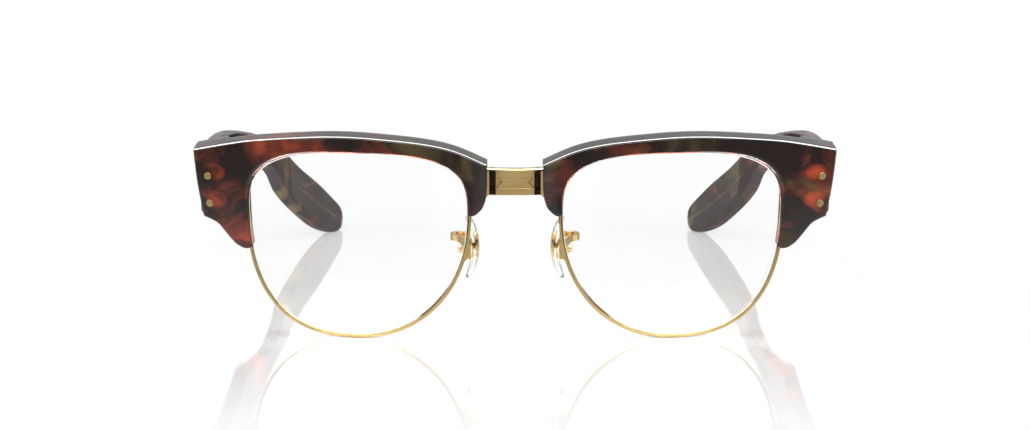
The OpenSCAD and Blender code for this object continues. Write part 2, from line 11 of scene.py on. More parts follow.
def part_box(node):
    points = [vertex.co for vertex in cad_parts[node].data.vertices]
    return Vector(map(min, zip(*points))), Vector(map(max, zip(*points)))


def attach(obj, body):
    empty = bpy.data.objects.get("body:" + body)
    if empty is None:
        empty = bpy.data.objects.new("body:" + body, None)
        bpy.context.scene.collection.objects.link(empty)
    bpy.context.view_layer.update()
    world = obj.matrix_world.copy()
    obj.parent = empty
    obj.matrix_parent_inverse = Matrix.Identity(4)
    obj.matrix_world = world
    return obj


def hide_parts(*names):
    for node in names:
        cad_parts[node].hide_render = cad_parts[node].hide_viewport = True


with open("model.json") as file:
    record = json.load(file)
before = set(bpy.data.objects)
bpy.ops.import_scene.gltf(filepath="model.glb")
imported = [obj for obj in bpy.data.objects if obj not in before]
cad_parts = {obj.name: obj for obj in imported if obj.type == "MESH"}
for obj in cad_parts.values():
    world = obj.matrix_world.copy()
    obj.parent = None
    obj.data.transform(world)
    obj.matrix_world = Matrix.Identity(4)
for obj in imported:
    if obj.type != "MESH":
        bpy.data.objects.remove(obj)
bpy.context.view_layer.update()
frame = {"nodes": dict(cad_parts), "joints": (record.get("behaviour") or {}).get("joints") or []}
mm = 0.001
nodes = frame["nodes"]
joints = {j["name"]: j for j in frame["joints"]}
print("frame loaded:", len(nodes), "nodes")

# the camera: half a metre in front and a little above the brows, looking slightly down
camera = dict(place=(0.0, -0.4906, 0.1017), down=9.76, lens=63.58, sensor=36, near=0.01, far=20)


def linked(name, data):
    obj = bpy.data.objects.new(name, data)
    bpy.context.scene.collection.objects.link(obj)
    return obj


def makeCamera(c):
    data = bpy.data.cameras.new("camera")
    data.lens, data.sensor_width = c["lens"], c["sensor"]
    data.clip_start, data.clip_end = c["near"], c["far"]
    obj = linked("camera", data)
    obj.location = c["place"]
    obj.rotation_euler = (math.radians(90 - c["down"]), 0, 0)
    bpy.context.scene.camera = obj


makeCamera(camera)


class Shade:
    # one socket of a node tree, which can be added, scaled and mixed
    def __init__(self, tree, socket=None):
        self.tree, self.socket = tree, socket

    def add(self, kind, sockets=None, out=0, **settings):
        node = self.tree.nodes.new(kind)
        for key, value in settings.items():
            setattr(node, key, value)
        for key, value in (sockets or {}).items():
            self.plug(node.inputs[key], value)
        return Shade(self.tree, node.outputs[out] if len(node.outputs) else None)

    def plug(self, socket, value):
        if isinstance(value, Shade):
            self.tree.links.new(value.socket, socket)
        elif isinstance(value, tuple) and socket.type == "RGBA":
            socket.default_value = (*value, 1)
        else:
            socket.default_value = value

    def maths(self, what, a, b=0.0):
        return self.add("ShaderNodeMath", {0: a, 1: b}, operation=what)

    def __add__(self, other):
        return self.maths("ADD", self, other)

    def __radd__(self, other):
        return self.maths("ADD", other, self)

    def __sub__(self, other):
        return self.maths("SUBTRACT", self, other)

    def __rsub__(self, other):
        return self.maths("SUBTRACT", other, self)

    def __mul__(self, other):
        return self.maths("MULTIPLY", self, other)

    def __rmul__(self, other):
        return self.maths("MULTIPLY", other, self)

    def squared(self):
        return self.maths("MULTIPLY", self, self)

    def between(self, low, high):  # 0 below low, 1 above high, smooth in between
        return self.add("ShaderNodeMapRange", {"Value": self, "From Min": low, "From Max": high},
                        interpolation_type="SMOOTHSTEP")

    def mix(self, first, second):  # this mask blends first into second
        return self.add("ShaderNodeMix", {0: self, 6: first, 7: second}, out=2, data_type="RGBA")

    def noise(self, where, scale, detail=2.0, rough=0.5, twist=0.0):
        return self.add("ShaderNodeTexNoise", {"Vector": where, "Scale": scale, "Detail": detail,
                                               "Roughness": rough, "Distortion": twist})

    def axis(self, where, which):
        return self.add("ShaderNodeSeparateXYZ", {0: where}, out=which)

    def size(self):
        return self.maths("ABSOLUTE", self)

    def mark(self, name):  # a value stored on the mesh
        return self.add("ShaderNodeAttribute", out=2, attribute_name=name)

    def bump(self, height, strength, distance):
        return self.add("ShaderNodeBump", {"Height": height, "Strength": strength, "Distance": distance})

    def reflected(self):  # 1 for what polished faces show, though not for what is seen through glass
        paths = "ShaderNodeLightPath"
        return self.add(paths, out=3) * (1 - self.add(paths, out=6))


def newMaterial(name, recipe):
    material = bpy.data.materials.new(name)
    material.use_nodes = True
    tree = material.node_tree
    tree.nodes.clear()
    shade = Shade(tree)
    surface = recipe(shade, shade.add("ShaderNodeTexCoord", out=3))
    shade.add("ShaderNodeOutputMaterial", {0: surface})
    return material


# the front's own frame: x across, d back from the wrap curve's crest, w up the front, all in mm
front = dict(bridgeGap=20.2, eyeWide=52.8, eyeHigh=46.2, middle=0.524, belly=0.672, endLong=12, browThick=6,
             boss=2, wrap=350, lean=7.5, browGap=12.8, hingeDrop=11.2, screwIn=3.8, screwDrop=7.2)
rim = dict(thick=0.9, deep=1.8, groove=0.5, grooveHalf=0.46, lensR=130, lensThick=1.9, fore=1.2, lip=0.9,
           lockUp=3.0, play=0.03)

eyeIn = front["bridgeGap"] / 2
eyeOut = eyeIn + front["eyeWide"]
eyeHigh = front["eyeHigh"]
eyeMid = eyeIn + front["middle"] * front["eyeWide"]
eyeBelly = front["belly"] * eyeHigh
endX = eyeOut + front["endLong"]
noseX = front["browGap"] / 2
halfBrow = front["browThick"] / 2
hingeW = eyeHigh - front["hingeDrop"]
bridgeScrew = noseX + front["screwIn"], eyeHigh - front["screwDrop"]
lockW = eyeBelly + rim["lockUp"]
leanCos, leanSin = math.cos(math.radians(front["lean"])), math.sin(math.radians(front["lean"]))


def wrapDepth(x):
    return front["wrap"] - np.sqrt(front["wrap"] ** 2 - np.asarray(x, float) ** 2)


leanD = float(wrapDepth(eyeMid))
lensX = (eyeIn + eyeOut) / 2
lensTurn = math.asin(lensX / front["wrap"])
lensBack = math.sqrt(rim["lensR"] ** 2 - ((front["eyeWide"] + eyeHigh) / 4) ** 2)
lensMiddle = (lensX - lensBack * math.sin(lensTurn),
              float(wrapDepth(lensX)) - rim["fore"] + lensBack * math.cos(lensTurn), eyeHigh / 2)


def lensDepth(x, w, proud=0.0):
    reach = (rim["lensR"] + proud) ** 2 - (x - lensMiddle[0]) ** 2 - (w - lensMiddle[2]) ** 2
    return lensMiddle[1] - np.sqrt(reach)


def unit(v):
    return v / np.maximum(np.linalg.norm(v, axis=-1, keepdims=True), 1e-12)


def eyeOutline(count, grow=0.0):
    # four quarters of superellipses, each with its own squareness, then moved out by grow
    a = (np.arange(count) + 0.5) * 2 * math.pi / count
    c, s = np.cos(a), np.sin(a)
    square = np.where(s > 0, np.where(c > 0, 2.8, 3.2), np.where(c > 0, 2.5, 2.1))
    halfX = np.where(c > 0, eyeOut - eyeMid, eyeMid - eyeIn)
    halfW = np.where(s > 0, eyeHigh - eyeBelly, eyeBelly)
    line = np.stack([eyeMid + halfX * np.sign(c) * np.abs(c) ** (2 / square),
                     eyeBelly + halfW * np.sign(s) * np.abs(s) ** (2 / square)], -1)
    line = evenly(np.vstack([line, line[:1]]), count + 1)[:-1]
    along = unit(np.roll(line, -1, 0) - np.roll(line, 1, 0))
    return line + grow * np.stack([along[:, 1], -along[:, 0]], -1)


def curveThrough(points, steps):
    p = np.asarray(points, float)
    t = (np.arange(steps) / steps)[:, None]
    runs = []
    for i in range(len(p) - 1):
        a, b, c, d = p[max(i - 1, 0)], p[i], p[i + 1], p[min(i + 2, len(p) - 1)]
        runs.append(0.5 * (2 * b + (c - a) * t + (2 * a - 5 * b + 4 * c - d) * t ** 2
                           + (3 * b - a - 3 * c + d) * t ** 3))
    return np.vstack([*runs, p[-1:]])


def evenly(line, count):
    # the same line with its points the same way apart
    far = np.concatenate([[0], np.cumsum(np.linalg.norm(np.diff(line, axis=0), axis=1))])
    want = np.linspace(0, far[-1], count)
    return np.stack([np.interp(want, far, line[:, k]) for k in range(line.shape[1])], -1)


def bySpacing(line, spacing):
    long = np.linalg.norm(np.diff(line, axis=0), axis=1).sum()
    return evenly(line, max(2, round(long / spacing) + 1))


def leaned(x, d, w):
    x, d, w = np.broadcast_arrays(np.asarray(x, float), np.asarray(d, float), np.asarray(w, float))
    return np.stack([x, leanD + (d - leanD) * leanCos - w * leanSin, (d - leanD) * leanSin + w * leanCos], -1)


class Skin:
    # collects points in metres and faces, part by part
    def __init__(self):
        self.points, self.faces, self.count = [], [], 0

    def add(self, points, faces):
        points = np.asarray(points, float).reshape(-1, 3)
        self.points.append(points)
        self.faces += [tuple(i + self.count for i in f) for f in faces]
        self.count += len(points)

    def loft(self, rings, capStart=True, capEnd=True):
        # rings of the same count of points, joined to tubes and closed with fans
        rings = np.asarray(rings, float)
        m, n = rings.shape[:2]
        faces = [(i * n + k, i * n + (k + 1) % n, (i + 1) * n + (k + 1) % n, (i + 1) * n + k)
                 for i in range(m - 1) for k in range(n)]
        points = rings.reshape(-1, 3)
        for ring, wanted in ((0, capStart), (m - 1, capEnd)):
            if wanted:
                points = np.vstack([points, rings[ring].mean(0)])
                hub = len(points) - 1
                faces += [(ring * n + k, ring * n + (k + 1) % n, hub) for k in range(n)]
        self.add(points, faces)


def meshFrom(name, points, faces):
    mesh = bpy.data.meshes.new(name)
    mesh.from_pydata([tuple(p) for p in points], [], faces)
    return mesh


def meshOf(bm, name):
    mesh = bpy.data.meshes.new(name)
    bm.to_mesh(mesh)
    bm.free()
    return mesh


def setMark(mesh, mark, values):
    mesh.attributes.new(mark, "FLOAT", "POINT").data.foreach_set("value", values.astype(np.float32))


def dress(mesh, crease=35, merge=1e-6):
    # outward faces, and sharp edges only where the surface really turns
    bm = bmesh.new()
    bm.from_mesh(mesh)
    bmesh.ops.remove_doubles(bm, verts=bm.verts, dist=merge)
    bmesh.ops.recalc_face_normals(bm, faces=bm.faces)
    for face in bm.faces:
        face.smooth = True
    limit = math.radians(crease)
    for edge in bm.edges:
        edge.smooth = len(edge.link_faces) == 2 and edge.calc_face_angle(0) < limit
    bm.to_mesh(mesh)
    bm.free()
    return mesh


def makePiece(name, mesh, body, stands, material):
    obj = linked(name, mesh)
    mesh.materials.clear()
    mesh.materials.append(material)
    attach(obj, body)
    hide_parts(*stands)
    return obj


def mirrored(skin):
    return [p * np.array([-1, 1, 1]) for p in skin.points], [f[::-1] for f in skin.faces]


def bothSides(name, skin, stands, material, bodies=("front", "front"), crease=35, marks=None):
    # the left piece as drawn and the right one as its mirror image
    made = []
    for side, body in zip(("left", "right"), bodies):
        points, faces = (skin.points, skin.faces) if side == "left" else mirrored(skin)
        mesh = meshFrom(side + name, np.vstack(points), faces)
        for mark, values in (marks or {}).items():
            setMark(mesh, mark, values)
        dress(mesh, crease)
        made.append(makePiece(side + name, mesh, body, [f"{side}_{s}" for s in stands], material))
    return made


def evaluated(obj):
    graph = bpy.context.evaluated_depsgraph_get()
    return bpy.data.meshes.new_from_object(obj.evaluated_get(graph), depsgraph=graph)


def dropObjects(*objects):
    for obj in objects:
        data = obj.data
        bpy.data.objects.remove(obj)
        (bpy.data.meshes if isinstance(data, bpy.types.Mesh) else bpy.data.curves).remove(data)


def carve(obj, cutters):
    # cuts pockets out of a finished mesh
    for cutter in cutters:
        modifier = obj.modifiers.new("pocket", "BOOLEAN")
        modifier.operation, modifier.solver, modifier.object = "DIFFERENCE", "EXACT", cutter
    bpy.context.view_layer.update()
    mesh = evaluated(obj)
    obj.modifiers.clear()
    old = obj.data
    obj.data = mesh
    bpy.data.meshes.remove(old)
    dropObjects(*cutters)


def looseBlock(low, high, turn, side):
    # a block between two corners in mm, turned into place and mirrored when side is -1
    bm = bmesh.new()
    bmesh.ops.create_cube(bm, size=1)
    low, high = Vector(low), Vector(high)
    bm.transform(Matrix.Translation((low + high) / 2) @ Matrix.Diagonal((*(high - low), 1)))
    return looseObject(bm, turn, side)


def looseObject(bm, turn, side):
    bm.transform(Matrix.Scale(mm, 4) @ turn)
    if side < 0:
        bm.transform(Matrix.Scale(-1, 4, (1, 0, 0)))
        bmesh.ops.reverse_faces(bm, faces=bm.faces)
    return linked("cutter", meshOf(bm, "cutter"))


# where the leaned front stands in the row frame: found once from two CAD boxes
eyeLine = eyeOutline(240)
rimLow = leaned(eyeLine[:, 0], lensDepth(*eyeLine.T, rim["deep"] / 2), eyeLine[:, 1])[:, 2].min()

brow = dict(
    top=[(noseX, -3.1), *((eyeIn + share * front["eyeWide"], rise) for share, rise in (
        (0.07, 0.1), (0.21, 1.71), (0.41, 2.7), (0.56, 3.0), (0.71, 2.7), (0.945, 1.5))),
         (eyeOut + 4, 0.3), (endX, -1.5)],
    end=[(endX, -1.5), (endX - 0.3, -6.2), (endX - 0.8, -11.2), (endX - 1.8, -17.6)],
    low=[(endX - 1.8, -17.6), (endX - 4, -18.5), (endX - 5.5, -19.5), (eyeOut + 4, -22.6),
         (eyeOut + 2.2, -24.3), (eyeOut - 0.5, -24.9), (eyeOut - 6, -22)],
    nose=[(eyeIn + 5, -11), (eyeIn + 0.5, -15.3), (eyeIn - 2.1, -14.1), (noseX + 0.5, -12),
          (noseX + 0.1, -9.4), (noseX, -5.2), (noseX, -3.1)],
    spacing=0.6, topBevel=0.42, endBevel=0.34, lowBevel=0.3, tipBevel=0.22, lensBevel=0.34, lensWide=0.75,
    noseBevel=0.26, backRound=0.55, fill=1.3)


def browCurve(part, steps=24):
    return curveThrough([(x, eyeHigh + w) for x, w in brow[part]], steps)


browTop = browCurve("top")
browNear = leaned(browTop[:, 0], wrapDepth(browTop[:, 0]) - halfBrow, browTop[:, 1])[:, 1].min()
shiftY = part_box("left_brow")[0].y / mm - browNear
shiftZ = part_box("left_eyewire")[0].z / mm - rimLow


def toRow(x, d, w):
    # a place on the front, in mm, to metres in the row frame
    return (leaned(x, d, w) + np.array([0, shiftY, shiftZ])) * mm


def behindWrap(line, deep):
    # a line drawn flat on the front, at this depth behind the wrap curve
    return toRow(line[:, 0], wrapDepth(line[:, 0]) + deep, line[:, 1])


frontToRow = (Matrix.Translation((0, shiftY + leanD, shiftZ))
              @ Matrix.Rotation(math.radians(front["lean"]), 4, "X") @ Matrix.Translation((0, -leanD, 0)))


def onWrap(x, w, deep):
    # the place under (x, w) at this depth from the brow's middle, and the way out of the brow's face
    turn = math.asin(x / front["wrap"])
    reach = front["wrap"] - deep
    place = Vector((reach * math.sin(turn), front["wrap"] - reach * math.cos(turn), w))
    out = Vector((math.sin(turn), -math.cos(turn), 0))
    return frontToRow @ place, (frontToRow.to_3x3() @ out).normalized()


hinge = Vector(joints["left_temple_fold"]["pos_m"]) / mm
padPivot = Vector(joints["left_pad_rock"]["pos_m"]) / mm
leafFrame = Matrix.Translation(hinge + Vector((1, 0, 0))) @ Matrix.Rotation(math.radians(-3.7), 4, "Z")
rivetSpots = [(endX - 3.9, hingeW + 3.5), (endX - 4.1, hingeW - 3.1)]
print("front placed: shift", round(shiftY, 3), round(shiftZ, 3), "hinge", [round(v, 2) for v in hinge])

acetate = dict(dark=(0.013, 0.0095, 0.009), red=(0.088, 0.020, 0.013), ember=(0.30, 0.055, 0.021),
               lit=(0.60, 0.085, 0.028), olive=(0.062, 0.046, 0.020), blotch=96, speck=420, gloss=0.045)
# the last gold colour is painted shade, a dark brown for the bridge's recesses
gold = dict(bright=(0.86, 0.63, 0.28), deep=(0.62, 0.41, 0.15), paintedShade=(0.040, 0.010, 0.004), gloss=0.13)


def tortoise(shade, place, glow=None):
    # dark body, red-brown clouds, olive smoke and a few ember spots, as cast in layers
    a = acetate
    drift = shade.add("ShaderNodeMapping", {"Vector": place, "Location": (0.013, 0.021, 0.007),
                                            "Scale": (1.0, 0.55, 1.1)})
    cloud = shade.noise(drift, a["blotch"], 3.0, 0.55, 0.7)
    wide = shade.noise(drift, a["blotch"] * 0.42, 1.0, 0.5, 0.3)
    smoke = shade.noise(place, a["blotch"] * 0.8, 2.0, 0.6, 0.4)
    speck = shade.noise(place, a["speck"], 3.0, 0.6)
    cloud = cloud + (wide - 0.5) * 0.45
    redMask = (cloud + (speck - 0.5) * 0.12).between(0.48, 0.72)
    emberMask = cloud.between(0.62, 0.78) * speck.between(0.30, 0.62)
    oliveMask = smoke.between(0.52, 0.70) * 0.75
    colour = redMask.mix(a["dark"], a["red"])
    colour = oliveMask.mix(colour, a["olive"])
    colour = (emberMask * 0.55).mix(colour, a["ember"])
    if glow is not None:
        colour = (glow * 0.85).mix(colour, a["lit"])
    return colour, speck


def polished(shade, colour, speck, place, extra=None):
    hair = shade.noise(place, 2600.0, 2.0, 0.6)
    rough = acetate["gloss"] + (speck - 0.5) * 0.03 + hair.between(0.60, 0.80) * 0.04
    return shade.add("ShaderNodeBsdfPrincipled", {
        "Base Color": colour, "Roughness": rough, "IOR": 1.49, "Coat Weight": 0.35, "Coat Roughness": 0.02,
        "Normal": shade.bump(shade.noise(place, 190.0, 1.0), 0.03, 0.0006), **(extra or {})})


def browAcetate(shade, place):
    across, up = shade.axis(place, 0).size(), shade.axis(place, 2)
    warmth = shade.noise(place, 150.0)
    high = 0.25 + up.between(0.034, 0.043) * 0.75
    glow = shade.mark("lip").between(0.74, 0.95) * warmth.between(0.44, 0.58) * high
    for x, w in rivetSpots:  # light comes through beside each rivet
        spot, _ = onWrap(x, w, -halfBrow)
        dx, dz = across - (spot.x * mm - 0.0016), up - (spot.z * mm + 0.0010)
        near = 1 - (dx.squared() + dz.squared() * 1.6).between(0.0, 0.0030 ** 2)
        glow = glow + near * warmth.between(0.35, 0.60) * 0.3
    glow = shade.maths("MINIMUM", glow, 1.0)
    colour, speck = tortoise(shade, place, glow)
    return polished(shade, colour, speck, place)


def templeAcetate(shade, place):
    colour, speck = tortoise(shade, place)
    wire = shade.mark("core").between(0.55, 1.0) * speck.between(0.25, 0.55) * 0.30
    colour = wire.mix(colour, (0.42, 0.27, 0.12))
    return polished(shade, colour, speck, place, {"Specular IOR Level": 0.2, "Coat Weight": 0.0})


def goldMetal(deepen, gloss, mark=None):
    # pale gold, with painted shade where the mark is high: darker, duller and rougher there
    def recipe(shade, place):
        grain = shade.noise(place, 700.0, 3.0, 0.6)
        tone = shade.noise(place, 160.0).between(0.35, 0.70) * 0.35 + deepen
        colour = tone.mix(gold["bright"], gold["deep"])
        metal, rough = 1.0, gloss + (grain - 0.5) * 0.10
        if mark:
            # painted shade, in place of the shade that falls in the bridge's recesses
            paintedShade = shade.mark(mark).between(0.3, 0.75)
            colour = paintedShade.mix(colour, gold["paintedShade"])
            metal, rough = 1.0 - paintedShade * 0.8, rough + paintedShade * 0.25
        return shade.add("ShaderNodeBsdfPrincipled", {
            "Base Color": colour, "Metallic": metal, "Roughness": rough,
            "Normal": shade.bump(grain, 0.05, 0.0001)})
    return recipe


def clearBody(shade, sockets, tint=(1.0, 1.0, 1.0)):
    # a body of glass or gum; the light that makes shadows only takes on its tint
    body = shade.add("ShaderNodeBsdfPrincipled", {"Transmission Weight": 1.0, **sockets})
    clear = shade.add("ShaderNodeBsdfTransparent", {"Color": tint})
    return shade.add("ShaderNodeMixShader", {0: shade.add("ShaderNodeLightPath", out=1), 1: body, 2: clear})


def clearLens(shade, place):
    smear = shade.noise(place, 60.0)
    return clearBody(shade, {"Base Color": (0.985, 0.995, 0.99), "IOR": 1.5,
                             "Roughness": smear.between(0.55, 0.80) * 0.012})


def clearSilicone(shade, place):
    haze = shade.noise(place, 420.0)
    # painted shade: the gum is coloured dark grey-blue where its faces turn away from the eye, in place of
    # the dark rim that refraction gives it
    edge = shade.add("ShaderNodeLayerWeight", {"Blend": 0.35}, out=1).between(0.45, 1.0)
    return clearBody(shade, {"Base Color": edge.mix((0.95, 0.97, 0.99), (0.42, 0.48, 0.56)), "IOR": 1.41,
                             "Roughness": 0.03 + haze.between(0.45, 0.75) * 0.05,
                             "Normal": shade.bump(haze, 0.04, 0.0004)}, (0.93, 0.95, 0.97))


browFinish = newMaterial("browTortoise", browAcetate)
templeFinish = newMaterial("templeTortoise", templeAcetate)
goldFinish = newMaterial("paleGold", goldMetal(0.12, gold["gloss"]))
# the bridge's gold carries painted shade in its recesses
bridgeFinish = newMaterial("bridgeGold", goldMetal(0.12, gold["gloss"], "sunkShade"))
rivetFinish = newMaterial("rivetGold", goldMetal(0.0, 0.42))
screwFinish = newMaterial("screwGold", goldMetal(0.35, 0.2))
wireFinish = newMaterial("drawnWire", goldMetal(0.5, 0.28))
lensFinish = newMaterial("clearLens", clearLens)
siliconeFinish = newMaterial("clearSilicone", clearSilicone)
print("finishes made")


def crossing(a, b):
    # first place where line a crosses line b: index on a, index on b, point
    for i in range(len(a) - 1):
        p, r = a[i], a[i + 1] - a[i]
        for k in range(len(b)):
            q, s = b[k], b[(k + 1) % len(b)] - b[k]
            area = r[0] * s[1] - r[1] * s[0]
            if abs(area) < 1e-12:
                continue
            gap = q - p
            t, u = (gap[0] * s[1] - gap[1] * s[0]) / area, (gap[0] * r[1] - gap[1] * r[0]) / area
            if 0 <= t < 1 and 0 <= u < 1:
                return i, k, p + t * r
    raise ValueError("the brow's outline doesn't meet the lens opening")


def browOutline():
    # clockwise: over the top, down the end, back under it, round the lens opening and up the nose side
    opening = eyeOutline(600, -rim["lip"])
    low, nose = browCurve("low", 40), browCurve("nose", 40)
    i, k, outerTip = crossing(low, opening)
    j, l, innerTip = crossing(nose, opening)
    arc = np.vstack([opening[k + 1:], opening[:l + 1]]) if l < k else opening[k + 1:l + 1]
    runs = [(browCurve("top"), brow["topBevel"]), (browCurve("end"), brow["endBevel"]),
            (np.vstack([low[:i + 1], outerTip]), brow["lowBevel"]),
            (np.vstack([outerTip, arc, innerTip]), brow["lensBevel"]),
            (np.vstack([innerTip, nose[j + 1:]]), brow["noseBevel"])]
    line, width = [], []
    for n, (run, bevel) in enumerate(runs):
        run = bySpacing(run, brow["spacing"])
        share = np.linspace(0, 1, len(run))
        bevels = np.full(len(run), bevel)
        if n == 3:  # the opening's bevel is widest at the temple side
            bevels += brow["lensWide"] * np.exp(-((share - 0.24) / 0.16) ** 2)
            ends = np.minimum(share, 1 - share)
            bevels = brow["tipBevel"] + (bevels - brow["tipBevel"]) * np.clip(ends / 0.08, 0, 1)
        line.append(run[:-1])
        width.append(bevels[:-1])
    line, width = np.vstack(line), np.concatenate(width)
    for _ in range(3):
        width = (np.roll(width, 1) + 2 * width + np.roll(width, -1)) / 4
    return line, width


def outward(line):
    before, after = unit(line - np.roll(line, 1, 0)), unit(np.roll(line, -1, 0) - line)
    before, after = (np.stack([-v[:, 1], v[:, 0]], -1) for v in (before, after))
    mid = unit(before + after)
    return mid / np.maximum((mid * before).sum(-1), 0.6)[:, None]


def insidePolygon(points, polygon):
    inside = np.zeros(len(points), bool)
    for a, b in zip(polygon, np.roll(polygon, -1, 0)):
        crosses = (a[1] > points[:, 1]) != (b[1] > points[:, 1])
        rise = b[1] - a[1] if abs(b[1] - a[1]) > 1e-12 else 1e-12
        inside ^= crosses & (points[:, 0] < (b[0] - a[0]) * (points[:, 1] - a[1]) / rise + a[0])
    return inside


def distanceTo(points, line):
    return np.sqrt(((points[:, None] - line[None]) ** 2).sum(-1)).min(1)


def fillFace(border, spacing, extra=None):
    # triangles inside a border, with an even spread of inner points so that the surface can curve
    low, high = border.min(0), border.max(0)
    xs, ws = np.arange(low[0], high[0], spacing), np.arange(low[1], high[1], spacing)
    inner = np.stack(np.meshgrid(xs, ws), -1).reshape(-1, 2)
    if extra is not None:
        inner = np.vstack([inner, extra])
    inner = inner[insidePolygon(inner, border)]
    inner = inner[distanceTo(inner, border) > 0.5 * spacing]
    every = [Vector(p) for p in np.vstack([border, inner])]
    points, _, faces, _, _, _ = delaunay_2d_cdt(every, [], [list(range(len(border)))], 1, 1e-6)
    return np.array([tuple(p) for p in points]), [tuple(f) for f in faces]


def backOf(x):
    # the brow's back, which steps back at the end piece
    share = np.clip((x - (eyeOut + 3.6)) / 1.2, 0, 1)
    return halfBrow + front["boss"] * share * share * (3 - 2 * share)


def buildBrows():
    line, width = browOutline()
    out = outward(line)
    bevelShape = [(1.25, 0.0), (1.06, 0.02), (0.90, 0.09), (0.09, 0.90), (0.02, 1.06), (0.0, 1.3)]
    roundShape = [(0.0, 1.0), (0.08, 0.62), (0.29, 0.29), (0.62, 0.08), (1.0, 0.0)]
    rings = []

    def ring(inset, deep):
        place = line - out * np.asarray(inset)[:, None]
        rings.append((place, behindWrap(place, deep)))

    for inset, deep in bevelShape:
        ring(inset * width, deep * width - halfBrow)
    for share in (0.3, 0.7):
        nearD, farD = 1.3 * width - halfBrow, backOf(line[:, 0]) - brow["backRound"]
        ring(0 * width, nearD + share * (farD - nearD))
    for inset, deep in roundShape:
        ring(np.full(len(line), inset * brow["backRound"]), backOf(line[:, 0]) - deep * brow["backRound"])
    skin = Skin()
    skin.loft([r[1] for r in rings], False, False)
    flat = [r[0] for r in rings]
    step = np.stack(np.meshgrid(np.arange(eyeOut + 3.4, eyeOut + 5.2, 0.3), np.arange(20, 50, 1.0)), -1)
    for border, isFront in ((rings[0][0], True), (rings[-1][0], False)):
        points, faces = fillFace(border, brow["fill"], None if isFront else step.reshape(-1, 2))
        deep = -halfBrow if isFront else backOf(points[:, 0])
        skin.add(behindWrap(points, deep), faces)
        flat.append(points)
    # how near each point is to the lens opening, for the light that comes through its edge
    opening = eyeOutline(300, -rim["lip"])
    lip = np.clip(1 - distanceTo(np.vstack(flat), opening) / 2.2, 0, 1)
    return bothSides("Brow", skin, ["brow"], browFinish, marks={"lip": lip}, crease=32)


brows = buildBrows()
leafPocket = dict(middle=endX - 4, half=2.13, low=hingeW - 4.63, high=hingeW + 5.03, thick=1)


def carveBrows():
    # the seat of the hinge leaf in the back of each end piece
    p, crest = leafPocket, Matrix.Translation((0, front["wrap"], 0))
    turn = Matrix.Rotation(math.asin(p["middle"] / front["wrap"]), 4, "Z")
    place = frontToRow @ crest @ turn @ crest.inverted()
    deep = halfBrow + front["boss"] - p["thick"]
    for obj, side in zip(brows, (1, -1)):
        carve(obj, [looseBlock((-p["half"], deep, p["low"]), (p["half"], deep + 4, p["high"]), place, side)])


carveBrows()
print("brows made")


def newTree(name, inputs):
    tree = bpy.data.node_groups.new(name, "GeometryNodeTree")
    tree.interface.new_socket("Geometry", in_out="INPUT", socket_type="NodeSocketGeometry")
    for title, kind in inputs:
        tree.interface.new_socket(title, in_out="INPUT", socket_type="NodeSocket" + kind)
    tree.interface.new_socket("Geometry", in_out="OUTPUT", socket_type="NodeSocketGeometry")
    given = {s.name: Shade(tree, s) for s in tree.nodes.new("NodeGroupInput").outputs if s.name}
    return tree, Shade(tree), given


def closeTree(shade, geometry, material):
    real = shade.add("GeometryNodeRealizeInstances", {0: geometry})
    painted = shade.add("GeometryNodeSetMaterial", {"Geometry": real, "Material": material})
    shade.add("NodeGroupOutput", {0: painted})


def sweepTree():
    # a profile swept along a curve
    tree, shade, given = newTree("sweptProfile", [("Profile", "Object"), ("Metal", "Material")])
    profile = shade.add("GeometryNodeObjectInfo", {"Object": given["Profile"]}, out=4)
    tube = shade.add("GeometryNodeCurveToMesh", {"Curve": given["Geometry"], "Profile Curve": profile,
                                                 "Fill Caps": True})
    closeTree(shade, tube, given["Metal"])
    return tree


def turnedTree():
    # a profile spun round an axis, with a slot cut across its head, set on each point along its aim
    tree, shade, given = newTree("turnedParts", [
        ("Profile", "Object"), ("Slot width", "Float"), ("Slot depth", "Float"),
        ("Head height", "Float"), ("Metal", "Material")])
    profile = shade.add("GeometryNodeObjectInfo", {"Object": given["Profile"]}, out=4)
    circle = shade.add("GeometryNodeCurvePrimitiveCircle", {"Resolution": 32, "Radius": 1e-6})
    turned = shade.add("GeometryNodeCurveToMesh", {"Curve": circle, "Profile Curve": profile})
    closed = shade.add("GeometryNodeMergeByDistance", {"Geometry": turned, "Distance": 4e-6})
    size = shade.add("ShaderNodeCombineXYZ", {0: 0.01, 1: given["Slot width"], 2: given["Slot depth"] * 2})
    where = shade.add("ShaderNodeCombineXYZ", {2: given["Head height"]})
    blade = shade.add("GeometryNodeMeshCube", {"Size": size})
    blade = shade.add("GeometryNodeTransform", {"Geometry": blade, "Translation": where})
    slotted = shade.add("GeometryNodeMeshBoolean", {"Mesh 1": closed, "Mesh 2": blade},
                        operation="DIFFERENCE", solver="EXACT")
    aim = shade.add("GeometryNodeInputNamedAttribute", {"Name": "aim"}, data_type="FLOAT_VECTOR")
    turn = shade.add("FunctionNodeAlignRotationToVector", {"Vector": aim}, axis="Z")
    placed = shade.add("GeometryNodeInstanceOnPoints", {"Points": given["Geometry"], "Instance": slotted,
                                                        "Rotation": turn})
    closeTree(shade, placed, given["Metal"])
    return tree


def setInputs(obj, tree, values):
    modifier = obj.modifiers.new("build", "NODES")
    modifier.node_group = tree
    known = {s.name: s.identifier for s in tree.interface.items_tree if s.in_out == "INPUT"}
    for name, value in values.items():
        modifier[known[name]] = value
    bpy.context.view_layer.update()


def curveObject(name, points, closed, upright=False):
    data = bpy.data.curves.new(name, "CURVE")
    data.dimensions, data.twist_mode = "3D", "Z_UP" if upright else "MINIMUM"
    spline = data.splines.new("POLY")
    spline.points.add(len(points) - 1)
    for point, place in zip(spline.points, points):
        point.co = (*place, 1)
    spline.use_cyclic_u = closed
    return linked(name, data)


sweep, turned = sweepTree(), turnedTree()


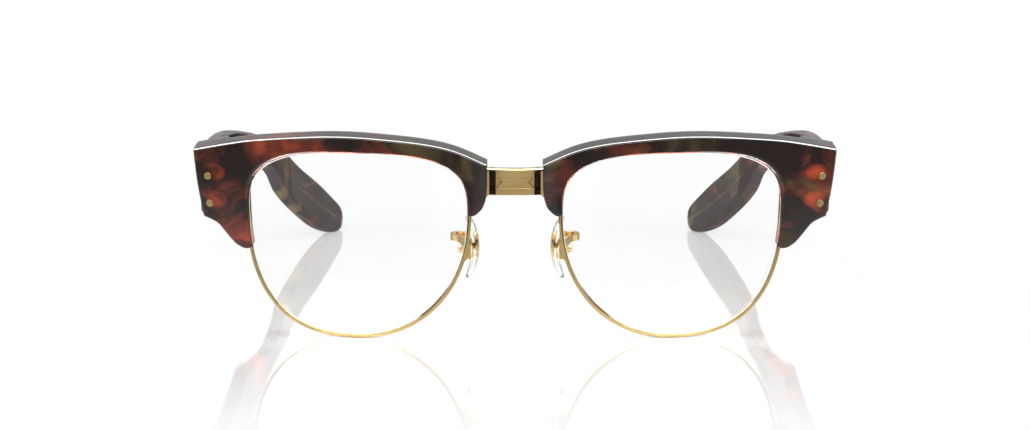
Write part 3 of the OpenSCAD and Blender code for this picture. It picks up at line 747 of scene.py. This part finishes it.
def roundCorners(corners, radius, steps=4):
    # a closed outline whose corners are arcs, or small chamfers where the arc would be tighter
    line = []
    corners = np.asarray(corners, float)
    for i, p in enumerate(corners):
        a, b = corners[i - 1] - p, corners[(i + 1) % len(corners)] - p
        want = radius if np.isscalar(radius) else radius[i]
        r = min(want, 0.45 * np.linalg.norm(a), 0.45 * np.linalg.norm(b))
        start, end = p + unit(a) * r, p + unit(b) * r
        for t in np.linspace(0, 1, steps + 1):
            line.append((1 - t) ** 2 * start + 2 * t * (1 - t) * p + t * t * end)
    return np.array(line)


def buildEyewires():
    # one grooved profile swept round each lens, open at the lock
    t, d, g, h = rim["thick"] / 2, rim["deep"] / 2, rim["groove"], rim["grooveHalf"]
    corners = [(-t, -d), (0.1, -d - 0.02), (t, -d + 0.06), (t, d - 0.06), (0, d), (-t, d), (-t, h),
               (g - t, 0), (-t, -h)]
    radii = [0.24, 0.3, 0.38, 0.38, 0.3, 0.22, 0.1, 0.05, 0.1]
    profile = curveObject("rimProfile", [(r * mm, a * mm, 0) for r, a in roundCorners(corners, radii)], True)
    loop = eyeOutline(420, -rim["thick"] / 2)
    start = next(i for i in range(len(loop)) if loop[i][1] > lockW + 0.15 and loop[i][0] > eyeMid)
    loop = np.roll(loop, -start, 0)
    loop = loop[(loop[:, 0] < eyeMid) | (np.abs(loop[:, 1] - lockW) > 0.15)]
    path = [(x * mm, w * mm, -float(lensDepth(x, w)) * mm) for x, w in loop]
    obj = curveObject("rimPath", path, False, upright=True)
    setInputs(obj, sweep, {"Profile": profile, "Metal": goldFinish})
    mesh = evaluated(obj)
    points = np.array([v.co for v in mesh.vertices]) / mm
    skin = Skin()
    skin.add(toRow(points[:, 0], -points[:, 2], points[:, 1]), [tuple(f.vertices) for f in mesh.polygons])
    bpy.data.meshes.remove(mesh)
    dropObjects(obj, profile)
    bothSides("Eyewire", skin, ["eyewire"], goldFinish, crease=40)


buildEyewires()
print("eyewires made")


def buildLenses():
    # a meniscus with a bevelled edge that sits in the groove
    half, slim, wide = rim["lensThick"] / 2, 0.06, 0.42  # the lens, its bevel's crest and its foot
    edge = eyeOutline(288, -rim["thick"] - rim["play"])
    lip = eyeOutline(288, -rim["thick"] - 0.16)
    tongue = eyeOutline(288, rim["groove"] - rim["thick"] - rim["play"])
    centre = np.array([lensX, eyeHigh / 2])
    rings = []
    shares = np.sin(np.linspace(0.02, 1, 22) * math.pi / 2)
    for proud, order in ((half, shares), (-half, shares[::-1])):
        for share in order:
            line = centre + (lip - centre) * share
            rings.append(toRow(line[:, 0], lensDepth(*line.T, proud), line[:, 1]))
        if proud > 0:
            for line, at in ((edge, wide), (tongue, slim), (tongue, -slim), (edge, -wide)):
                rings.append(toRow(line[:, 0], lensDepth(*line.T, at), line[:, 1]))
    skin = Skin()
    skin.loft(rings)
    bothSides("Lens", skin, ["lens"], lensFinish, crease=40)


buildLenses()
print("lenses made")

bridge = dict(high=6.4, drop=3.9, half=6.75, plateHalf=4.47, recess=5.75, plate=2.8, hollow=-0.9,
              side=2.6, back=1.4, rail=0.62, sill=0.16, grid=0.06, ribHigh=0.1, ribWide=0.13, edge=0.34,
              upperRib=0.37, lowerRib=0.745, crown=0.07, sag=0.16, flare=0.75, fall=0.75,
              tabIn=1.7, tabOut=5.7, tabHalf=1.9, tabDeep=(0.05, 0.85))
bridgeTop = eyeHigh - bridge["drop"]
bridgeLow = bridgeTop - bridge["high"]


def ease(value, low, high):
    t = np.clip((value - low) / (high - low), 0, 1)
    return t * t * (3 - 2 * t)


def ridge(x, w, points):
    # a rounded raised line through these points
    best = np.full(x.shape, 1e9)
    for (ax, aw), (bx, bw) in zip(points, points[1:]):
        long = (bx - ax) ** 2 + (bw - aw) ** 2
        t = np.clip(((x - ax) * (bx - ax) + (w - aw) * (bw - aw)) / long, 0, 1)
        best = np.minimum(best, np.hypot(x - ax - t * (bx - ax), w - aw - t * (bw - aw)))
    return np.exp(-(best / bridge["ribWide"]) ** 2)


def bridgeFace(x, w):
    # how far the bridge's face stands in front of the brows' middle
    b = bridge
    ax = np.abs(x)
    face = b["plate"] + (b["hollow"] - b["plate"]) * ease(ax, b["plateHalf"] - 0.05, b["plateHalf"] + 0.1)
    face = face + (b["side"] - b["hollow"]) * ease(ax, b["recess"] - 0.1, b["recess"] + 0.15)
    railMask = ease(w, bridgeTop - b["rail"] - 0.08, bridgeTop - b["rail"] + 0.08)
    sillMask = 1 - ease(w, bridgeLow + b["sill"] - 0.05, bridgeLow + b["sill"] + 0.1)
    band = b["plate"] - 0.22 * ease(ax, b["plateHalf"], b["half"])
    face = face + (band - face) * np.maximum(railMask, sillMask)
    upper, lower = bridgeTop - b["upperRib"] * b["high"], bridgeTop - b["lowerRib"] * b["high"]
    notch = (upper + lower) / 2 + 0.2
    ribs = ridge(ax, w, [(0, upper), (3.7, upper), (3.15, notch), (3.95, lower + 0.25)])
    ribs = np.maximum(ribs, ridge(ax, w, [(0, lower), (b["plateHalf"] + 0.45, lower)]))
    face = face + b["ribHigh"] * ribs
    face = face + b["crown"] * (1 - (ax / b["plateHalf"]) ** 2) * (ax < b["plateHalf"])
    near = np.minimum(bridgeTop - w, w - bridgeLow)
    edge = np.clip(near / b["edge"], 0, 1)
    return face - b["edge"] * (1 - np.sqrt(1 - (1 - edge) ** 2))


def wrapBlock(skin, x, w, deep, radius, soft):
    # a plate that follows the wrap, with rounded corners and softened edges
    (x0, x1), (w0, w1), (near, far) = x, w, deep
    outline = roundCorners([(x0, w0), (x1, w0), (x1, w1), (x0, w1)], radius, 6)
    away = outline - outline.mean(0)
    away = np.sign(away) * (np.abs(away) > 1e-3)
    less = 0.3 * soft
    steps = ((soft, near), (less, near + less), (0, near + soft),
             (0, far - soft), (less, far - less), (soft, far))
    skin.loft([behindWrap(outline - inset * away, d) for inset, d in steps])


def buildBridge():
    b = bridge
    xs = np.linspace(-b["half"], b["half"], round(2 * b["half"] / b["grid"]) + 1)
    ws = np.linspace(0, 1, round(b["high"] / b["grid"]) + 1)
    shares = 0.2 * (1 - np.cos(ws * math.pi)) + 0.6 * ws  # closer together at the edges
    x, share = np.meshgrid(xs, shares, indexing="ij")
    sag = b["sag"] * (1 - (x / b["half"]) ** 2)  # the top dips slightly in its middle
    flare = b["flare"] * ease(np.abs(x), 5.6, b["half"]) ** 2  # and the foot spreads down the brows
    flat = bridgeLow + share * b["high"]
    w = flat - sag * share ** 2 - flare * (1 - share) ** 2
    faceD = wrapDepth(x) - bridgeFace(x, flat)
    backD = wrapDepth(x) + b["back"]
    backW = w - b["fall"] * ease(share, 0.8, 1.0)  # the top falls away to the back
    skin = Skin()
    skin.loft([np.vstack([toRow(*near), toRow(*far)[::-1]])
               for near, far in zip(zip(x, faceD, w), zip(x, backD, backW))])
    # painted shade: the further the face lies back from the plate, the more its gold is painted dark brown
    sunkShade = np.clip(1 - (bridgeFace(x, flat) - b["hollow"]) / 1.6, 0, 1)
    sunkShade = np.concatenate([np.hstack([sunkShade, 0 * sunkShade]).ravel(), [0, 0]])
    # a flange lies behind each brow, on a wall that comes back from the bridge's end
    nearD, farD = (halfBrow + deep for deep in b["tabDeep"])
    tabW = bridgeScrew[1] - b["tabHalf"], bridgeScrew[1] + b["tabHalf"]
    for side in (1, -1):
        for reach, fromD, radius, soft in ((b["tabOut"], nearD, 1.4, 0.18), (-0.05, 1.25, 0.3, 0.12)):
            tabX = sorted((side * (noseX - b["tabIn"]), side * (noseX + reach)))
            wrapBlock(skin, tabX, tabW, (fromD, farD), radius, soft)
    mesh = meshFrom("bridge", np.vstack(skin.points), skin.faces)
    sunkShade = np.concatenate([sunkShade, np.zeros(len(mesh.vertices) - len(sunkShade))])
    setMark(mesh, "sunkShade", sunkShade)
    makePiece("bridgeMetal", dress(mesh, 50), "front", ["bridge"], bridgeFinish)


buildBridge()
print("bridge made")

# screws and rivets; a rivet has no slot, so its blade is moved far away
fasteners = dict(headR=1.0, headT=0.6, shankR=0.6, slot=0.28, slotDeep=0.26, awayDeep=-50, awayHigh=80)


def turnedProfile(headR, headT, shankR, shankL, dome):
    # from the top of the head to the end of the shank, in mm: across and along
    edge = min(0.16, headT * 0.4)
    crown = [(headR * s, headT + dome * (1 - s * s)) for s in (0, 0.35, 0.65, 0.85)]
    side = [(headR - edge * 0.35, headT - edge * 0.25), (headR, headT - edge), (headR, 0.04),
            (headR - 0.04, 0)]
    return crown + side + [(shankR, 0), (shankR, 0.1 - shankL), (shankR - 0.12, -shankL), (0, -shankL)]


def setOnPoints(name, places, profile, stands, headTop=0, slotWide=0, material=screwFinish, body="front",
                slot="screw_steel"):
    # places are (point in mm, aim) pairs; the aim is the way the head looks
    f = fasteners
    mesh = meshFrom(name + "Points", [tuple(p * mm) for p, _ in places], [])
    aims = np.array([tuple(a) for _, a in places], np.float32)
    mesh.attributes.new("aim", "FLOAT_VECTOR", "POINT").data.foreach_set("vector", aims.ravel())
    carrier = linked(name + "Points", mesh)
    outline = curveObject(name + "Profile", [(r * mm, -h * mm, 0) for r, h in turnedProfile(*profile)], False)
    setInputs(carrier, turned, {"Profile": outline, "Slot width": max(slotWide, 1e-3) * mm,
                                "Slot depth": (f["slotDeep"] if slotWide else f["awayDeep"]) * mm,
                                "Head height": (headTop if slotWide else f["awayHigh"]) * mm,
                                "Metal": material})
    made = dress(evaluated(carrier), 38)
    dropObjects(carrier, outline)
    makePiece(name, made, body, [stands], material)


def flipped(places, sign=-1):
    flip = Vector((sign, 1, 1))
    return [(p * flip, a * flip) for p, a in places]


def onBothSides(name, places, *rest, **more):
    setOnPoints(name, places + flipped(places), *rest, **more)


def buildFasteners():
    f = fasteners
    head, top, cut = (f["headR"], f["headT"] - 0.1, f["shankR"]), f["headT"], f["slot"]
    wall = front["boss"] + front["browThick"]
    onBothSides("frontRivets", [onWrap(x, w, -halfBrow) for x, w in rivetSpots],
                (0.86, 0.14, 0.65, wall + 0.2, 0.07), "front_rivets", material=rivetFinish, slot="gold_metal")
    screws = []
    for (x, w), under in ((bridgeScrew, 0.85), ((eyeOut + 2, eyeBelly + 8), 0.1)):
        place, out = onWrap(x, w, halfBrow + under)
        screws.append((place, -out))
    onBothSides("browScrews", screws, (*head, 2.6, 0.1), "brow_screws", top, cut)
    upFront = (frontToRow.to_3x3() @ Vector((0, 0, 1))).normalized()
    lock = frontToRow @ Vector((eyeOut + 1.9, float(lensDepth(eyeOut, lockW)) + 0.9, lockW - 2.5))
    onBothSides("lockScrews", [(lock, -upFront)], (*head, 4.8, 0.1), "lock_screws", top, cut)
    pin = hinge + Vector((0, 0, 2.25))
    onBothSides("hingeScrews", [(pin, Vector((0, 0, 1)))], (1.1, 0.42, 0.6, 4.7, 0.08),
                "hinge_screws", 0.5, cut)
    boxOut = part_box("pad_screws")[1].x / mm - 0.7
    onBothSides("padScrews", [(Vector((boxOut, padPivot.y, padPivot.z)), Vector((1, 0, 0)))],
                (0.85, 0.6, 0.45, 2.4, 0.1), "pad_screws", 0.7, 0.24)
    # two rivets through each temple's leaf, with a head at either end
    ends = [(leafFrame @ Vector((along, 9, z)), leafFrame.to_3x3() @ Vector((way, 0, 0)))
            for z in (2.2, -2.2) for along, way in ((4.02, 1), (0.0, -1))]
    for side, sign in (("left", 1), ("right", -1)):
        setOnPoints(side + "TempleRivets", flipped(ends, sign), (0.9, 0.16, 0.65, 2.0, 0.1),
                    side + "_temple_rivets", body=side + "_temple", slot="gold_metal")


buildFasteners()
print("screws and rivets made")

pad = dict(high=15.6, wide=8.0, thick=1.3, sag=2.6, back=0.8, inside=3.2, soft=0.42, around=96)


def buildPads():
    p = pad
    domeR = ((p["high"] / 2) ** 2 + p["sag"] ** 2) / (2 * p["sag"])
    cupR = domeR + 1.5
    inner = padPivot.x - p["inside"]  # the face towards the nose
    a = np.arange(p["around"]) * 2 * math.pi / p["around"]
    shape = np.stack([np.cos(a) * p["wide"] / 2, np.sin(a) * p["high"] / 2], -1)

    def face(line, isDome):
        r2 = (line ** 2).sum(-1)
        if isDome:
            return inner + domeR - np.sqrt(domeR ** 2 - r2)
        return inner + p["thick"] + cupR - np.sqrt(cupR ** 2 - r2)

    rings = []
    shares = np.sin(np.linspace(0.03, 1, 16) * math.pi / 2)

    def ring(line, x):
        y, z = line[:, 0] + p["back"], line[:, 1]
        up = padPivot.z + y * leanSin + z * leanCos
        rings.append(np.stack([x, padPivot.y + y * leanCos - z * leanSin, up], -1) * mm)

    rimLine = shape * (1 - p["soft"] / np.linalg.norm(shape, axis=1, keepdims=True))
    for share in shares:
        ring(rimLine * share, face(rimLine * share, True))
    nearX, farX = face(rimLine, True), face(rimLine, False)
    for turn in np.linspace(0, math.pi, 9)[1:-1]:
        line = rimLine + (shape - rimLine) * math.sin(turn)
        ring(line, (nearX + farX) / 2 - (farX - nearX) / 2 * math.cos(turn))
    for share in shares[::-1]:
        ring(rimLine * share, face(rimLine * share, False))
    skin = Skin()
    skin.loft(rings)
    bothSides("Pad", skin, ["pad"], siliconeFinish, ("left_nose_pad", "right_nose_pad"), 60)


buildPads()


def soften(name, node, body, width):
    # a small plate or block keeps its CAD shape and gets softened edges
    bm = bmesh.new()
    bm.from_mesh(nodes[node].data)
    bmesh.ops.remove_doubles(bm, verts=bm.verts, dist=2e-6)
    bmesh.ops.dissolve_limit(bm, angle_limit=math.radians(1.2), verts=bm.verts, edges=bm.edges)
    bmesh.ops.recalc_face_normals(bm, faces=bm.faces)
    obj = linked(name, meshOf(bm, name))
    modifier = obj.modifiers.new("edges", "BEVEL")
    modifier.width, modifier.segments, modifier.limit_method = width * mm, 2, "ANGLE"
    modifier.angle_limit = math.radians(40)
    modifier.miter_outer = "MITER_ARC"
    bpy.context.view_layer.update()
    final = dress(evaluated(obj), 34)
    dropObjects(obj)
    makePiece(name, final, body, [node], goldFinish)


for side in ("left", "right"):
    for title, node, body, width in (
            ("FrontLeaf", "_front_leaf", "front", 0.1), ("TempleLeaf", "_temple_leaf", side + "_temple", 0.1),
            ("LockUpper", "_lock_upper", "front", 0.1), ("LockLower", "_lock_lower", "front", 0.1),
            ("PadArm", "_pad_arm", "front", 0.09), ("PadInsert", "_pad_insert", side + "_nose_pad", 0.05)):
        soften(side + title, side + node, body, width)
print("pads, pad arms and hinge leaves made")

temple = dict(high=16, thick=4, armLong=96, tipIn=17, edge=1.2, mitre=0.2, outerX=4.7, start=2.2)


def templeStations():
    # top y and z, bottom y and z, step of the outer face, share of the thickness; y is taken from the
    # hinge's axis, and z from the two edges of a straight arm
    h, n, t = temple["high"] / 2, temple["armLong"], temple["tipIn"]
    drop = hinge.z - h
    return np.array([
        (-6, -0.3, -6, -0.3, -0.4, 1), (0, -0.2, 0, -0.3, 0.3, 1), (14, 0, 14, -0.3, 1.2, 1),
        (30, -0.4, 30, -0.3, 1.9, 1), (44, -1.6, 44, -1.7, 2.1, 1), (52, -2.6, 52, -3.5, 2.1, 1),
        (57, -3.3, 57, -4.9, 2.0, 1), (59, -3.6, 58.5, -4.7, 1.9, 1), (62, -4.1, 61.5, -2.7, 1.9, 0.97),
        (n - 22, -5.9, n - 23, -2.1, 1.5, 0.95), (n - 10, -8.3, n - 11, -1.4, 0.8, 0.95),
        (n, -10.6, n - 4, -2, 0, 0.95), (n + 9, -0.47 * drop, n + 3, -0.21 * drop, -0.09 * t, 0.97),
        (n + 16, -0.59 * drop, n + 9.5, -0.42 * drop, -0.16 * t, 1),
        (n + 23, -0.78 * drop, n + 16, -0.63 * drop, -0.34 * t, 1),
        (n + 32, -1.01 * drop, n + 25, -0.87 * drop, -0.62 * t, 1),
        (n + 39, -1.21 * drop, n + 32, -0.98 * drop, -0.83 * t, 1),
        (n + 42.5, -1.32 * drop, n + 36, -drop, -0.94 * t, 0.95),
        (n + 44.4, -1.43 * drop, n + 40.5, -0.98 * drop, -t, 0.8),
        (n + 44.6, -1.48 * drop, n + 43.4, -0.92 * drop, -1.03 * t, 0.6)]) + np.array([0, h, 0, -h, 0, 0])


def sectionParts(thick, high, inset):
    # always the same count of points: arcs at the corners and evenly split sides
    r = min(temple["edge"], thick / 2 - 0.05, high / 2 - 0.05)
    corners = ((thick - r, r, -90), (thick - r, high - r, 0), (r, high - r, 90), (r, r, 180))
    arcs = []
    for cx, ch, start in corners:
        a = np.radians(start + np.linspace(0, 90, 7))
        arcs.append(np.stack([cx + (r - inset) * np.cos(a), ch + (r - inset) * np.sin(a)], -1))
    line = []
    for arc, after, count in zip(arcs, arcs[1:] + arcs[:1], (10, 3, 10, 3)):
        line += [arc, np.linspace(arc[-1], after[0], count + 2)[1:-1]]
    return np.vstack(line)


def templeRing(q, inset=0.0, mitre=None):
    low, up = np.array([q[2], q[3]]), np.array([q[0] - q[2], q[1] - q[3]])
    high = float(np.linalg.norm(up))
    thick = temple["thick"] * q[5]
    face = temple["outerX"] + q[4]
    line = sectionParts(thick, high, inset)
    x = hinge.x + face - thick + line[:, 0]
    y = hinge.y + low[0] + up[0] * line[:, 1] / high
    z = hinge.z + low[1] + up[1] * line[:, 1] / high
    if mitre is not None:  # the end that meets the end piece follows its back
        d = wrapDepth(x) + halfBrow + front["boss"] + temple["mitre"] + mitre
        w = (z - shiftZ - (d - leanD) * leanSin) / leanCos
        y = leanD + (d - leanD) * leanCos - w * leanSin + shiftY
    return np.stack([x, y, z], -1) * mm


def buildTemples():
    stations = curveThrough(templeStations(), 12)
    rings = [templeRing(stations[12], *edge) for edge in ((0.35, 0.0), (0.12, 0.1), (0.0, 0.35))]
    rings += [templeRing(q) for q in stations if min(q[0], q[2]) > temple["start"]]
    rings += [templeRing(stations[-1] + push * np.array([1, 0, 1, 0, 0, 0]), inset)
              for inset, push in ((0.35, 0.25), (0.7, 0.38))]
    rings = np.array(rings)
    skin = Skin()
    skin.loft(rings)
    # how near each point is to the core wire's line along the middle of the arm
    m, n = rings.shape[:2]
    middle = rings.mean(1)
    reach = np.abs(rings[:, :, 2] - middle[:, None, 2]) / (np.ptp(rings[:, :, 2], axis=1)[:, None] / 2 + 1e-9)
    core = np.clip(1 - reach * 4.5, 0, 1)
    tail = np.linspace(0, 1, m)[:, None]
    core = core * (tail > 0.1) * (tail < 0.93)
    core = np.concatenate([core.ravel(), [0, 0]])
    return bothSides("Temple", skin, ["temple"], templeFinish,
                     ("left_temple", "right_temple"), 32, {"core": core})


temples = buildTemples()


def carveTemples():
    # room for the knuckles and a seat for the leaf, on the inner face
    for obj, side in zip(temples, (1, -1)):
        bm = bmesh.new()
        bmesh.ops.create_cone(bm, cap_ends=True, segments=48, radius1=1.75, radius2=1.75, depth=5.6)
        barrel = looseObject(bm, Matrix.Translation(hinge + Vector((0, 0, 0.15))), side)
        seat = looseBlock((-8, 1.57, -3.53), (1.03, 14.03, 3.53), leafFrame, side)
        notch = looseBlock(hinge + Vector((-4, -0.5, -2.45)), hinge + Vector((2.1, 3, 2.45)), Matrix(), side)
        carve(obj, [barrel, seat, notch])


carveTemples()
print("temples made")

# the core wires lie inside the temples and keep their CAD shape
for side in ("left", "right"):
    wire = nodes[side + "_core_wire"]
    wire.data.materials.clear()
    wire.data.materials.append(wireFinish)

# studio: white floor with a soft mirror image, pale room, two soft boxes and a dark card in front
studio = dict(floor=3.0, sheen=0.75, glow=0.5, fadeNear=-0.078, fadeFar=-0.175, room=1.07, dark=0.05,
              strip=0.5, gleam=0.48)


def grey(tone):
    return (tone, tone, tone)


def floorFinish(shade, place):
    y, side = shade.axis(place, 1), shade.axis(place, 0).size()
    dust = shade.noise(place, 9.0)
    near = y.between(studio["fadeFar"], studio["fadeNear"]) * (1 - y.between(0.085, 0.13))
    # polished faces see dark felt on the floor before and behind, but for a pale strip down the middle
    seen = shade.reflected()
    near = near * (1 - side.between(0.12, 0.22)) * (1 - seen)
    felt = (1 - y.between(-0.16, -0.11)) * side.between(0.010, 0.022) + y.between(0.09, 0.12)
    tone = (seen * felt).mix(seen.mix(grey(0.97), grey(studio["strip"])), grey(studio["dark"]))
    matt = shade.add("ShaderNodeBsdfDiffuse", {"Color": tone, "Roughness": 0.4})
    mirror = shade.add("ShaderNodeBsdfGlossy", {"Color": grey(1.0),
                                                "Roughness": 0.03 + dust.between(0.3, 0.7) * 0.02})
    fill = shade.add("ShaderNodeEmission", {"Color": grey(1.0), "Strength": studio["glow"]})
    mirror = shade.add("ShaderNodeAddShader", {0: mirror, 1: fill})
    return shade.add("ShaderNodeMixShader", {0: near * studio["sheen"], 1: matt, 2: mirror})


def staged(name, corners, title, recipe):
    mesh = meshFrom(name, corners, [(0, 1, 2, 3)])
    mesh.materials.append(newMaterial(title, recipe))
    obj = linked(name, mesh)
    return obj


def softBox(name, place, towards, size, power):
    data = bpy.data.lights.new(name, "AREA")
    data.shape, data.size, data.size_y, data.energy = "RECTANGLE", size[0], size[1], power
    obj = linked(name, data)
    obj.location = place
    obj.rotation_euler = (Vector(towards) - Vector(place)).to_track_quat("-Z", "Y").to_euler()
    obj.visible_camera = obj.visible_diffuse = False


def cloth(shade, place):
    return shade.add("ShaderNodeBsdfPrincipled", {
        "Base Color": shade.noise(place, 30.0).mix(grey(0.02), grey(0.05)), "Roughness": 0.9})


def buildRoom():
    world = bpy.data.worlds.new("paleRoom")
    world.use_nodes = True
    world.node_tree.nodes.clear()
    # polished faces see a dimmer room than the eye does
    shade = Shade(world.node_tree)
    colour = shade.reflected().mix(grey(1.0), grey(studio["gleam"]))
    light = shade.add("ShaderNodeBackground", {"Color": colour, "Strength": studio["room"]})
    shade.add("ShaderNodeOutputWorld", {0: light})
    bpy.context.scene.world = world
    bpy.context.scene.view_settings.view_transform = "Standard"
    softBox("overhead", (0, -0.02, 0.75), (0, -0.02, 0), (2.2, 0.6), 88)
    softBox("frontTop", (0, -0.75, 0.62), (0, -0.05, 0.03), (0.9, 0.22), 6)
    card = staged("frontCard", [(-0.7, -1.0, 0.0), (0.7, -1.0, 0.0), (0.7, -1.0, 0.40), (-0.7, -1.0, 0.40)],
                  "frontCardCloth", cloth)
    card.visible_camera = card.visible_shadow = card.visible_diffuse = False


half = studio["floor"] / 2
staged("floor", [(-half, -half, 0), (half, -half, 0), (half, half, 0), (-half, half, 0)],
       "palePolishedFloor", floorFinish)
buildRoom()
print("studio made")
